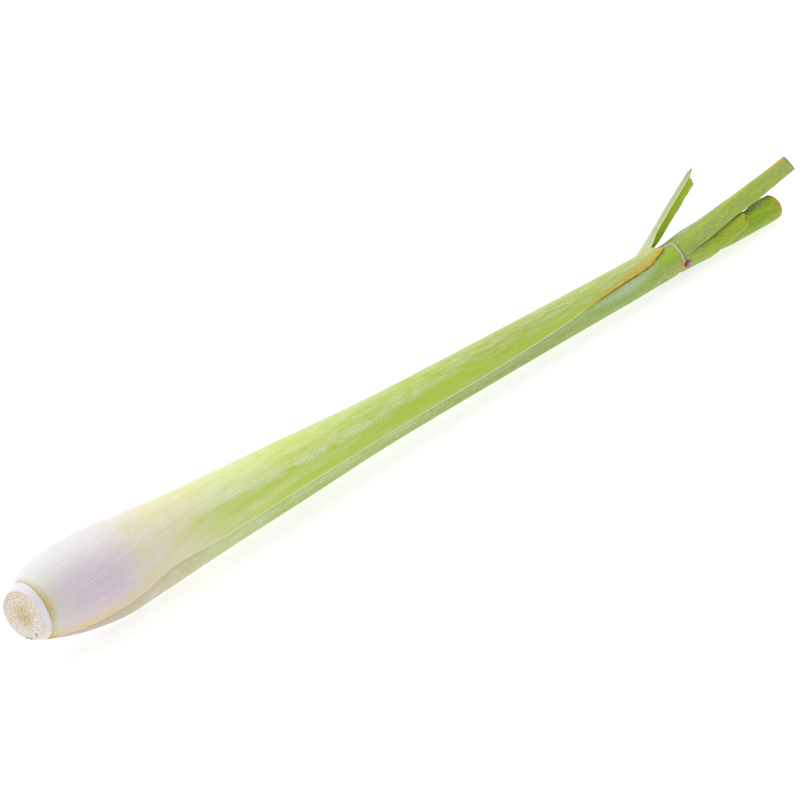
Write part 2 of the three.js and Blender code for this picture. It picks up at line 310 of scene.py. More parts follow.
# the size across and along the veins in millimetres, and the detail, of each noise on a leaf
veins = {
    "fine": (0.3, 26, 3),
    "broad": (1.1, 60, 3),
    "hair": (0.8, 9, 3),
    "fleck": (0.5, 3.2, 5),  # flakes of wax that the hand has rubbed
    "grain": (0.2, 0.55, 3),
    "mottle": (0.6, 2.1, 5),
    "patch": (2.6, 14, 3),
    "cloud": (1.5, 7, 4),
}
# the same for tissue that has no veins
pith = {"mottle": (1.25, 1.25, 4), "crumb": (0.26, 0.26, 4), "blot": (2.8, 2.8, 4)}
leafSkin = {
    "roughness": 0.46,
    "veinPitch": 0.39,  # from one vein to the next at the neck
    "veinStray": 0.05,  # how soon a vein strays from its line
    "veinRise": 0.05,  # how far the veins stand up
}
bundlePitch = 1 / 2.1  # from the end of one vascular bundle to the next
waveBands = 20 / math.tau  # how many bands the wave texture draws in each unit of length at scale 1


def sourcesOf(tree, place, layers, sizes, pattern, unit=1):
    # everything the layers of colour depend on: a pattern, noise of each size, and the painted values
    sources = dict(pattern)
    for i, (kind, (across, along, detail)) in enumerate(sizes.items()):
        scale = (unit / across, unit / along, unit / across)
        spread = {"Vector": place, "Location": (3 * i, 5 * i, i), "Scale": scale}
        spot = addNode(tree, "ShaderNodeMapping", spread).outputs[0]
        grain = {"Vector": spot, "Scale": 1, "Detail": detail, "Roughness": 0.55}
        sources[kind] = addNode(tree, "ShaderNodeTexNoise", grain).outputs["Fac"]
    masks = [mask[0] if isinstance(mask, tuple) else mask for _, *masks in layers for mask in masks]
    for name in masks:
        if isinstance(name, str) and name not in sources:
            sources[name] = addNode(tree, "ShaderNodeAttribute", attribute_name=name).outputs["Fac"]
    return sources


def layered(tree, sources, base, layers):
    # colours laid over each other: a tint, and masks that are each a number, a source, or a source's range
    for tint, *masks in layers:
        amount = None
        for mask in masks:
            name, *span = mask if isinstance(mask, tuple) else (mask,)
            value = sources.get(name, name)
            if span:  # start and end are 0 and 1 unless they are given
                low, high, start, end = (*span, *(0, 1)[len(span) - 2:])
                ranged = {"Value": value, "From Min": low, "From Max": high, "To Min": start, "To Max": end}
                eased = addNode(tree, "ShaderNodeMapRange", ranged, interpolation_type="SMOOTHSTEP")
                value = eased.outputs[0]
            if amount is not None:
                both = addNode(tree, "ShaderNodeMath", {0: amount, 1: value}, operation="MULTIPLY")
                value = both.outputs[0]
            amount = value
        base = addNode(tree, "ShaderNodeMix", {0: amount, 6: base, 7: tint}, data_type="RGBA").outputs[2]
    return base


def leafMaterial(name, along, painted, wax, vein, inner, line=("#dfe6b4", 0.3), mottled=0.3):
    # a fresh leaf: wax over green cells, with lengthwise veins; the wax scatters light, so it looks satin
    (waxTint, waxAmount), (veinTint, veinAmount), (lineTint, lineAmount) = wax, vein, line
    roughness = leafSkin["roughness"]
    material, tree, shader = startMaterial(name, roughness)
    place = addNode(tree, "ShaderNodeUVMap", uv_map="veins").outputs["UV"]
    drawn = {"Vector": place, "Scale": (1 / leafSkin["veinPitch"], leafSkin["veinStray"], 1)}
    pulled = addNode(tree, "ShaderNodeMapping", drawn).outputs[0]
    wave = {"Vector": pulled, "Scale": 1 / waveBands, "Distortion": 2.2, "Detail": 2, "Detail Scale": 0.6}
    waves = addNode(tree, "ShaderNodeTexWave", wave).outputs["Fac"]
    layers = [
        (veinTint, ("fine", 0.5, 0.72), ("broad", 0.3, 0.6, 0.4, 1), ("along", 20, 70, 0.35, 1), veinAmount),
        (waxTint, ("fine", 0.48, 0.3), ("patch", 0.35, 0.65), veinAmount),
        (lineTint, ("line", 0.6, 0.95), ("hair", 0.45, 0.6), lineAmount),
        (waxTint, ("fleck", 0.52, 0.72), ("patch", 0.42, 0.66), waxAmount),
        (veinTint, ("grain", 0.5, 0.7), ("cloud", 0.35, 0.6), veinAmount),
        (veinTint, ("mottle", 0.5, 0.66), ("cloud", 0.4, 0.6, 0.25, 1), ("along", 30, 90, 0.2, 1), mottled),
        (waxTint, ("mottle", 0.5, 0.34), ("cloud", 0.6, 0.4, 0.25, 1), mottled),
        *painted,
        (inner, "inside"),
    ]
    sources = sourcesOf(tree, place, layers, veins, {"line": waves})
    length = roll["length"]
    reached = addNode(tree, "ShaderNodeMath", {0: sources["along"], 1: length}, operation="DIVIDE").outputs[0]
    stops = [(station / length, tint) for station, tint in along]
    base = addNode(tree, "ShaderNodeValToRGB", {0: reached}, stops=stops).outputs[0]
    tree.links.new(layered(tree, sources, base, layers), shader.inputs["Base Color"])
    matt = {"Value": sources["fleck"], "From Min": 0.35, "From Max": 0.7, "To Min": roughness - 0.06,
            "To Max": roughness + 0.1}
    tree.links.new(addNode(tree, "ShaderNodeMapRange", matt).outputs[0], shader.inputs["Roughness"])
    raised = addNode(tree, "ShaderNodeMix", {0: 0.35, 2: sources["line"], 3: sources["broad"]}).outputs[0]
    relief = {"Height": raised, "Strength": 0.6, "Distance": leafSkin["veinRise"] * millimetre}
    tree.links.new(addNode(tree, "ShaderNodeBump", relief).outputs[0], shader.inputs["Normal"])
    return material


# the outer leaf: a long sheath with one free edge, and the stub of the blade that was torn off it
outerFront = profile(
    (3, 234), (6, 220), (17, 202), (24, 193), (34, 181), (42, 175), (62, 180), (88, 178), (160, 172),
    (196, 158), (209, 147), (223, 138), (236, 130), (240, 119), (246, 102),
)
# how far the stub's midrib has risen from the roll, and over how many degrees it lifts the sheath
keelRise = profile((239, 0), (240.5, 0.5), (246, 2.65), (290, 20))
keelSpread = 45
# where the sheath ends
collar = profile((-1, 245.5), (-0.5, 244.5), (-0.15, 242.4), (0.35, 242.2), (0.6, 243), (1, 245.3))


def outerRadius(station, angle):
    off = (angle - roll["leafAngle"]) / keelSpread
    return rollRadius(station) + keelRise(station) * math.exp(-off * off)


# the line of rubbed wax along the sheath, as an angle, and its strength
waxLine = profile((45, 118), (60, 122), (74, 130), (98, 134), (117, 131), (136, 121), (160, 117))
waxLineAmount = profile((34, 0), (50, 0.6), (80, 0.8), (98, 1), (117, 0.8), (136, 0.5), (160, 0))
freshAmount = profile((40, 0), (52, 0.35), (66, 0.6), (90, 0.8), (120, 0.8), (150, 0.9), (200, 0.9),
                      (236, 0.6), (246, 0.2))
# how brown the ring at the leaf's foot is, by angle
scarStrength = profile((-120, 0.5), (30, 0.4), (80, 0.45), (110, 0.7), (150, 1), (180, 0.5), (205, 0.3),
                       (222, 1), (234, 0.7))
# how wide the dried strip along the free edge is
dryWidth = profile((204, 0), (212, 0.35), (220, 0.9), (230, 1.35), (238, 1.45), (246, 1.2))


def dryMargin(station, margin):
    # the free edge has dried to straw, in a ragged strip that widens towards the collar
    width = dryWidth(station)
    ragged = width * (1.1 + 0.7 * noise.noise(Vector((station * 0.9, 3, 1))))
    return fade(margin, ragged * 0.6, ragged * 1.2) if width > 0.05 else 0


outerSheath = {
    "midrib": roll["leafAngle"],
    "columns": 116,
    "stations": stationsOf((3, 8, 0.4), (8, 60, 1.3), (60, 190, 2.6), (190, 235, 1), (235, 246, 0.35)),
    "cutFrom": 235.5,
    "endAt": collar,
    "wall": walls[0],
    **leafEdge,
    "thinOver": 3,
    "centre": axisAt,
    "front": outerFront,
    "rear": profile((3, -120), (6, -116), (236, -115), (247, -100)),
    "radius": outerRadius,
    "twist": profile((3, 0), (40, 36), (62, 48), (90, 50)),
    "paint": {
        "ring": lambda at: fade(at.station, 3.4, 4.4) * scarStrength(at.angle),
        "beyondRing": lambda at: near(at.station, 5, 2.6) * smooth(at.angle, 60, 120)
            * fade(at.angle, 185, 215),
        "golden": lambda at: near(at.station, 3.8, 1.6) * near(at.angle, 222, 14),
        "warm": lambda at: smooth(at.angle, 184, 218) * fade(at.station, 20, 40),
        "lower": lambda at: (at.across > 0) * fade(at.margin, 0.5, 5.5) * smooth(at.station, 5, 12)
            * fade(at.station, 30, 46),
        "blotch": lambda at: smooth(at.station, 20, 30) * fade(at.station, 52, 85),
        "pale": lambda at: near(at.angle, waxLine(at.station), 14) * waxLineAmount(at.station),
        "streak": lambda at: near(at.angle, waxLine(at.station) + 2, 9) * near(at.station, 72, 32),
        # painted shade: the top side darker, to even out the key light that falls strongest there
        "upper": lambda at: fade(at.angle, 56, 98) * smooth(at.station, 55, 100) * 0.7,
        "rubbed": lambda at: near(at.angle, 74, 15) * near(at.station, 112, 28),
        # a darker green line along the midrib, where the roll's top edge lies as the camera sees it
        "crest": lambda at: near(at.angle, 46, 9) * smooth(at.station, 8, 30)
            * (1 - smooth(at.station, 60, 110) * 0.4),
        "white": lambda at: fade(at.angle, 78, 125) * fade(at.station, 18, 40),
        "mauve": lambda at: fade(abs(at.station - 16), 4, 18) * fade(abs(at.angle - 160), 14, 62),
        "pink": lambda at: near(at.station, 16, 12) * near(at.angle, 190, 26),
        "fresh": lambda at: smooth(at.angle, 112, 142) * freshAmount(at.station),
        "dry": lambda at: (at.across > 0) * dryMargin(at.station, at.margin),
        "yellowed": lambda at: (at.across > 0) * smooth(at.station, 200, 214)
            * fade(at.margin, 0.4, 0.6 + 2.2 * dryWidth(at.station)),
        # a pale line along both edges: the thin edge is whitish, and the line is partly a painted highlight
        # along it
        "rim": lambda at: fade(at.margin, 0.05, 0.5),
        "brownRim": lambda at: (at.across > 0) * smooth(at.station, 207, 218) * fade(at.margin, 0.1, 0.5),
    },
}

tornRim = profile(
    (-1, 273.9), (-0.9, 274.5), (-0.75, 273.8), (-0.66, 274), (-0.5, 273.4), (-0.3, 273.5), (-0.1, 273.2),
    (0.1, 273.4), (0.25, 273.4), (0.42, 274.6), (0.5, 273.9), (0.62, 272.4), (0.72, 272.6), (0.85, 271.4),
    (1, 271),
)
stubInset = profile((239, 0.12), (243, 0))
outerStub = {
    "midrib": roll["leafAngle"],
    "columns": 56,
    "stations": stationsOf((232, 239, 1), (239, 250, 0.4), (250, 268, 1), (268, 274, 0.4)),
    "cutFrom": 262,
    "endAt": tornRim,
    "wall": profile((232, 0.3), (239, 0.42), (243, 0.62)),
    **leafEdge,
    "edgeWall": 0.28,
    "edgeRound": 0.24,
    "thinOver": 1.5,
    "centre": axisAt,
    "front": profile((232, 66), (242, 78)),
    "rear": profile((232, 25), (242, 5)),
    "radius": lambda station, angle: outerRadius(station, angle) - stubInset(station),
    "paint": {
        "rim": lambda at: fade(at.margin, 0.1, 0.55),
        "torn": lambda at: smooth(at.station, tornRim(at.across) - 1.1, tornRim(at.across) - 0.1),
        "foot": lambda at: fade(at.station, 241.5, 244.5) * 0.7,
    },
    "blade": {
        "opens": (240, 248),
        "opening": 199,
        "halfAngle": 46,
        "rounding": 0.5,
        "frontWidth": profile((240, 3.2), (275, 2.7)),
        "rearWidth": profile((240, 2.2), (244, 3), (247, 4.2), (250, 4.7), (253, 4.9), (275, 4.7)),
        "keel": lambda station: polar(axisAt(station), roll["neckRadius"] + 0.1 + keelRise(station),
                                      roll["leafAngle"]),
    },
}


# the second leaf: its blade is the longest thing at the top
# where the blade's keel lies: how far out from the axis, and how far round from the blades' side
keelOut = profile((250, 4.6), (260, 5.5), (276, 6.66), (280.5, 6.72), (285, 7.08), (292, 7.75), (300, 8.5),
                  (311, 9.7))
keelNear = profile((250, 2.4), (311, 1))
standsProud = profile((249, 0), (255, 0.45), (266, 0.8))
secondLie = {
    "atEdge": 0.42,  # how deep it lies right at the outer leaf's free edge
    "beyond": 0.15,  # and away from it
    "lift": 0.3,  # how far it comes out where the outer leaf has ended
    "press": 0.15,
}


def secondRadius(station, angle):
    # it dips under the outer leaf's free edge, and lies almost flush with it beyond
    under = math.radians(outerFront(station) - angle) * rollRadius(station)
    hidden = walls[0](station) + roll["gap"]
    if under > 0:
        depth = lerp(secondLie["atEdge"], hidden, smooth(under, 0, 2.5))
    else:
        depth = lerp(secondLie["atEdge"], secondLie["beyond"], smooth(-under, 0, 2))
    late = smooth(angle, -10, 35) * fade(angle, 80, 105)
    bare = smooth(station, lerp(246, 248, late), lerp(254, 262, late))
    proud = standsProud(station) * smooth(angle, 90, 165)
    pressed = secondLie["press"] * smooth(station, 226, 242) * smooth(angle, 190, 215)
    depth = lerp(depth, secondLie["beyond"], bare)
    return rollRadius(station) - depth + secondLie["lift"] * bare + proud - pressed


# how strong the blue-grey bloom beside the free edge is
bloomAmount = profile((45, 0), (58, 0.8), (90, 1), (135, 1), (155, 0.6), (190, 0.65), (236, 0.5), (245, 0))
# the station of the collar, by angle
membranePath = profile((60, 243.6), (76, 244.6), (86, 247.2), (98, 249.4), (122, 249.1), (160, 249.3),
                       (178, 250.3))
# the yellow streak down the blade, from the midrib outwards, and how strong it is
streakPlace = profile((250, 0.34), (266, 0.3), (275, 0.2), (284, 0.16), (300, 0.04), (308, 0.02))
streakAmount = profile((252, 0), (258, 0.6), (264, 1), (270, 0.35), (276, 0.9), (284, 0.8), (290, 0.5),
                       (300, 1))


def membraneAt(station, angle, reach):
    # the thin dried collar where the sheath ends and the blade begins
    if angle < 62 or angle > 184:
        return 0
    return near(station, membranePath(angle), reach * (1 + 1.6 * fade(angle, 84, 104)))


def bandBelow(at, start, low, high):
    # a band beside the outer leaf's free edge
    below = at.angle - outerFront(at.station)
    return smooth(below, 0, start) * fade(below, low, high)


secondLeaf = {
    "midrib": 75,
    "columns": 110,
    "stations": stationsOf((5.5, 60, 2), (60, 190, 3), (190, 242, 1.2), (242, 262, 0.35), (262, 300, 0.9),
                           (300, 309.7, 0.7)),
    "cutFrom": 304,
    "endAt": profile((-1, 309.6), (0, 309.5), (0.9, 308.7), (1, 308.5)),
    "wall": lambda station: lerp(walls[1](station), 0.4, smooth(station, 241, 247)),
    **leafEdge,
    "centre": axisAt,
    "front": profile((5.5, 238), (247, 238), (248.8, 203), (250.8, 182), (252, 160), (255.6, 149.5),
                     (260, 146), (268, 138)),
    "rear": profile((5.5, -100), (244, -100), (247.6, -62), (252.3, -30), (268, -15)),
    "radius": secondRadius,
    "paint": {
        "bloom": lambda at: bloomAmount(at.station) * bandBelow(at, 3, 7, 24),
        "blue": lambda at: near(at.station, 225, 17) * bandBelow(at, 4, 18, 40) * 0.8,
        # painted shade: the second leaf darker on its underside, towards its lower edge
        "low": lambda at: smooth(at.angle, 203, 230) * smooth(at.station, 60, 100) * 0.7,
        "blotch": lambda at: smooth(at.station, 22, 34) * fade(at.station, 60, 90),
        "fresh": lambda at: near(at.station, 245, 10) * near(at.angle, 128, 34),
        "membrane": lambda at: membraneAt(at.station, at.angle, 0.55),
        # painted shade: a dark brown line in the fold just below the collar membrane
        "crease": lambda at: membraneAt(at.station - 0.75, at.angle, 0.32) * smooth(at.angle, 92, 112),
        "tan": lambda at: near(at.station, 249, 4.5) * smooth(at.angle, 150, 178)
            * fade(at.angle, 196, 226),
        "strip": lambda at: smooth(at.station, 251, 258) * (1 - smooth(at.station, 262, 303) * 0.6)
            * near(at.across, -0.06, 0.3),
        "yellow": lambda at: streakAmount(at.station) * near(at.across, streakPlace(at.station), 0.13),
        "rim": lambda at: fade(at.margin, 0.08, 0.45) * smooth(at.station, 250, 256),
        "cut": lambda at: smooth(at.station, 308, 309.2) * 0.9,
        "corner": lambda at: smooth(at.station, 303, 309) * smooth(at.across, 0.7, 1),
        "tip": lambda at: smooth(at.station, 294, 307) * near(at.across, 0.06, 0.3),
    },
    "blade": {
        "opens": (254, 284),
        "opening": 242,
        "halfAngle": 36,
        "rounding": 1.2,
        "frontWidth": profile((254, 8.5), (268, 7), (280, 6.45), (287, 6.5), (296, 6.2), (303, 6),
                              (310, 5.9)),
        "rearWidth": profile((255, 9), (268, 7), (287, 5.6), (310, 4.9)),
        "keel": lambda station: polar(polar(axisAt(station), keelOut(station), roll["leafAngle"]),
                                      keelNear(station), roll["leafAngle"] + 90),
    },
}


# the third leaf, a sheath cut short, with an ear at its collar
sheathStations = (20, 26, 40, 60, 90, 130, 180, 225, 245.5)
thirdRadii = profile(
    *[(s, layerRadius(2, s)) for s in (8, 13, *sheathStations)],
    (249.5, 4.25), (252, 4.45), (256, 4.4), (260, 4.25), (264, 4.22), (268, 4.32), (274, 4.52), (280, 4.65),
    (287, 4.75),
)


def bladeEdge(station):
    # where the second blade's free edge lies, as an angle about the heart
    y, z = polar(axisAt(station), rollRadius(station), secondLeaf["front"](station))
    centre = heartCentre(station)
    return math.degrees(math.atan2(z - centre[1], y - centre[0]))


thirdLeaf = {
    "midrib": 60,
    "columns": 72,
    "stations": stationsOf((8, 60, 4), (60, 240, 8), (240, 262, 0.8), (262, 278, 0.5), (278, 283, 0.2),
                           (283, 287, 0.5)),
    "cutFrom": 284,
    "endAt": lambda across: 287,
    "wall": lambda station: lerp(walls[2](station), 0.5, smooth(station, 256, 262)),
    **leafEdge,
    "centre": heartCentre,
    "front": profile((262, 232), (264.5, 210), (268.7, 180), (272.3, 168), (278.9, 149), (280, 132),
                     (281.1, 66), (287, 52)),
    "rear": profile((250, -108), (262, -62), (276, -58), (281.1, -10), (287, 8)),
    "radius": lambda station, angle: thirdRadii(station),
    "paint": {
        "rim": lambda at: fade(at.margin, 0.1, 0.6) * smooth(at.station, 262, 266),
        "auricle": lambda at: near(at.station, 279.8, 1.7) * near(at.angle, 126, 15),
        "under": lambda at: smooth(at.angle, 185, 225),
        # painted shadow: the dark line that the second blade's free edge casts on this leaf
        "crease": lambda at: near(at.angle, bladeEdge(at.station) + 2, 8) * smooth(at.station, 249, 251)
            * fade(at.station, 259, 272),
        "fresh": lambda at: smooth(at.station, 262, 276) * near(at.angle, 125, 45),
    },
}


# the innermost leaf: one sheet rolled up on itself
innerRadii = profile(
    *[(s, layerRadius(3, s)) for s in (11, 15, *sheathStations)],
    (249.5, 3.7 - walls[2](249.5) - roll["gap"]), (256, 4.4 - walls[2](256) - roll["gap"]),
    (264, 3.6), (270, 3.8), (274, 3.85), (287, 3.9), (294.6, 3.8), (295.6, 3.75),
)
innerRoll = {
    "edgeAngle": 54,
    "turns": 4,
    "heart": 0.6,  # the part of a turn that is left open in the middle
    "sheet": 0.85,  # how much of each turn's pitch the leaf fills
    "curl": 0.25,
    "pressed": 0.7,
}


def innerPitch(station):
    # from one turn of the roll to the next
    return innerRadii(station) / (innerRoll["turns"] + innerRoll["heart"])


def innerRadius(station, angle):
    # the free edge curls outwards near the cut, and is pressed in where the blade crosses it
    turn = (angle - innerRoll["edgeAngle"]) / 360
    curl = innerRoll["curl"] * fade(turn, 0, 0.12) * smooth(station, 284, 291)
    pressed = innerRoll["pressed"] * fade(turn, 0.02, 0.2) * near(station, 283, 8)
    return innerRadii(station) - innerPitch(station) * turn + curl - pressed


innerLeaf = {
    "midrib": innerRoll["edgeAngle"] + innerRoll["turns"] * 180,
    "columns": 220,
    "stations": stationsOf((11, 60, 6), (60, 244, 12), (244, 262, 1.5), (262, 292, 0.8), (292, 295.6, 0.4)),
    "cutFrom": 292,
    "endAt": lambda across: 295.6,
    "wall": lambda station: innerRoll["sheet"] * innerPitch(station),
    **leafEdge,
    "crowding": 1,
    "edgeWall": 0.3,
    "edgeRound": 0.2,
    "thinOver": 1.5,
    "centre": heartCentre,
    "front": lambda station: innerRoll["edgeAngle"] + innerRoll["turns"] * 360,
    "rear": lambda station: innerRoll["edgeAngle"],
    "radius": innerRadius,
    "paint": {
        "band": lambda at: fade(at.angle, 84, 104) * smooth(at.angle, 60, 74)
            * smooth(at.station, 276, 283) * fade(at.station, 290, 294),
        "edge": lambda at: fade(at.angle, 54, 62) * smooth(at.station, 274, 280),
        "cut": lambda at: smooth(at.station, 293.4, 295.2),
        "under": lambda at: smooth(at.angle, 175, 220),
    },
}


# the solid stem at the root end, with a ring for each leaf
def paredRound(angle):
    # the stretches of the cut's rim that the knife pared
    return max(near(angle, 60, 90), near(angle, 330, 50), near(angle, 185, 16))


def nickAt(angle, out):
    # where the knife tore the rim of the cut
    torn = max(near(angle, 262, 6), near(angle, 249, 8)) * smooth(out, 5.7, 6.2)
    return max(torn, near(angle, 226, 5) * near(out, 5.6, 1.1))


stem = {
    "rings": [3, 5.5, 8, 11],  # where each leaf's foot sits, and where the stem ends
    "coreSlack": 0.1,  # between a leaf and the core inside it
    "steps": 180,
    "faceRings": 22,
    "faceMargin": 0.14,  # from the flat face to the disc's radius
    "rim": [(0.03, -0.04), (0.1, 0.05)],  # of the cut: station, and how far past the disc's radius
    "shoulder": (0.5, 2.7, 0.1),  # from, to, and the step between its rings
    "tuck": [(2.88, 0), (2.94, 0.02), (2.97, 0.08), (2.975, 0.3), (2.98, 0.6)],  # station, and how far in
    "tuckFrom": 2.75,
    "coreFrom": 3.1,
    "nickDepth": 0.3,
    "paint": {
        "whitish": lambda at: smooth(at.angle, 150, 200) * fade(at.angle, 300, 340) * smooth(at.out, 3, 5),
        "centre": lambda at: fade(at.out, 1, 4),
        "rim": lambda at: smooth(at.out, 5.9, 6.3) * paredRound(at.angle),
        "nick": lambda at: nickAt(at.angle, at.out),
        "top": lambda at: near(at.angle, 60, 50),
        "creamy": lambda at: smooth(at.angle, 168, 205) * fade(at.angle, 300, 340),
        "scar": lambda at: smooth(at.station, 2.2, 2.8)
            * scarStrength(at.angle if at.angle < 250 else at.angle - 360),
        "pared": lambda at: fade(at.station, 0.05, 0.4) * paredRound(at.angle),
    },
}


def stemOutline():
    # half of the stem's section, from the middle of the cut face to the middle of its hidden end
    face, rings = stem["faceRings"], stem["rings"]
    first, last, step = stem["shoulder"]
    outline = [(0, (roll["discRadius"] - stem["faceMargin"]) * i / face) for i in range(face + 1)]
    outline += [(s, roll["discRadius"] + past) for s, past in stem["rim"]]
    shoulder = [first + step * i for i in range(round((last - first) / step) + 1)]
    outline += [(s, rollRadius(s)) for s in (first / 2, *shoulder)]
    outline += [(s, rollRadius(stem["tuckFrom"]) - inwards) for s, inwards in stem["tuck"]]
    for layer in range(3):
        for s in (max(rings[layer] - roll["gap"], stem["coreFrom"]), rings[layer + 1] - roll["gap"]):
            outline.append((s, layerRadius(layer + 1, s) - stem["coreSlack"]))
    return outline + [(rings[3] - roll["gap"], 0)]


def stemPiece(materials):
    bm = bmesh.new()
    chain = [bm.verts.new((0, radius, station)) for station, radius in stemOutline()]
    edges = [bm.edges.new(pair) for pair in zip(chain, chain[1:])]
    bmesh.ops.spin(bm, geom=chain + edges, cent=(0, 0, 0), axis=(0, 0, 1), angle=math.tau,
                   steps=stem["steps"], use_merge=True)
    bmesh.ops.remove_doubles(bm, verts=bm.verts[:], dist=1e-5)
    bmesh.ops.recalc_face_normals(bm, faces=bm.faces[:])
    painted = {key: bm.verts.layers.float.new(key) for key in stem["paint"]}
    onCut = {}
    for v in bm.verts:
        station, out, up = v.co.z, v.co.x, v.co.y
        centre = axisAt(station)
        angle, reach = math.degrees(math.atan2(up, out)) % 360, math.hypot(out, up)
        at = SimpleNamespace(station=station, angle=angle, out=reach)
        onCut[v] = station <= 0.02
        for key, brush in stem["paint"].items():
            v[painted[key]] = brush(at)
        v.co = placed(station, centre[0] + out, centre[1] + up)
        if onCut[v]:
            v.co.x += millimetre * stem["nickDepth"] * nickAt(angle, reach)
    for face in bm.faces:
        face.material_index = int(not all(onCut[v] for v in face.verts))
    finishPiece("stem", "stem_base", bm, materials)


# the membrane along the top of the second sheath
ligule = {
    "angles": (64, 180),
    "steps": 90,
    "sides": 10,
    "width": 0.2,
    "height": 0.13,
    "swell": 1.4,  # how much thicker its far end is
    "ragged": 0.8,
    "lumps": 26,
}
# the dried lobe at the end of that membrane
ear = {
    "station": 250.7,
    "angle": 180,
    "rise": 0.3,
    "long": 1.15,
    "wide": 1.05,
    "high": 0.72,
    "lumpiness": 0.16,
    "lumps": 1.6,
    "seed": (4, 2, 9),
}
# two fibres beside the torn blade: where each starts and ends along the edge, and how far it bows
strands = {
    "runs": [(269.4, 275, 0.3), (262, 267.5, 0.15)],
    "steps": 40,
    "sides": 10,
    "width": 0.05,
    "height": 0.05,
    "swell": 0,
    "ragged": 0.8,
    "lumps": 26,
}


def strandPiece(name, node, strand, path, material):
    # a thin strand: a grid rolled into a tube along a path, ragged, and pointed at both ends
    bm = bmesh.new()
    bmesh.ops.create_grid(bm, x_segments=strand["steps"], y_segments=strand["sides"], size=1)
    for v in bm.verts:
        t, turn = (v.co.x + 1) / 2, v.co.y * math.pi
        ahead = path(min(t + 0.01, 1)) - path(max(t - 0.01, 0))
        side = ahead.cross(Vector((0, 0, 1))).normalized()
        lift = side.cross(ahead).normalized()
        spot = Vector((t * strand["lumps"], strand["steps"] + math.cos(turn), math.sin(turn)))
        ragged = 1 + strand["ragged"] * noise.noise(spot)
        thick = ragged * (1 + strand["swell"] * fade(t, 0.1, 0.5))
        taper = math.sqrt(max(0, 1 - (2 * t - 1) ** 6)) * thick * millimetre
        v.co = path(t) + side * math.cos(turn) * strand["width"] * taper
        v.co += lift * math.sin(turn) * strand["height"] * taper
    bmesh.ops.remove_doubles(bm, verts=bm.verts[:], dist=1e-7)
    bmesh.ops.recalc_face_normals(bm, faces=bm.faces[:])
    finishPiece(name, node, bm, [material])


def ligulePath(t):
    angle = lerp(*ligule["angles"], t)
    station = membranePath(angle)
    return placed(station, *polar(axisAt(station), secondRadius(station, angle), angle))


def strandPath(start, end, bow):
    # beside the torn blade's free edge, touching it at both ends
    def path(t):
        station = lerp(start, end, t)
        y, z = leafPoint(outerStub, station, -1, depth=0.1)[0]
        swing = bow * math.sin(t * math.pi)
        return placed(station + swing * 0.6, y - swing * 0.8, z)
    return path


def earPiece(material):
    bm = bmesh.new()
    bmesh.ops.create_icosphere(bm, subdivisions=4, radius=1)
    rise = bm.verts.layers.float.new("rise")
    base = polar(axisAt(ear["station"]), rollRadius(ear["station"]) + ear["rise"], ear["angle"])
    for v in bm.verts:
        v[rise] = v.co.z
        lump = 1 + ear["lumpiness"] * noise.noise(v.co * ear["lumps"] + Vector(ear["seed"]))
        out = polar(base, v.co.z * ear["high"] * lump, ear["angle"])
        y, z = polar(out, v.co.y * ear["wide"] * lump, ear["angle"] + 90)
        v.co = placed(ear["station"] + v.co.x * ear["long"] * lump, y, z)
    bmesh.ops.reverse_faces(bm, faces=bm.faces[:])  # placing them mirrors the ball
    finishPiece("ear", "second_leaf", bm, [material])


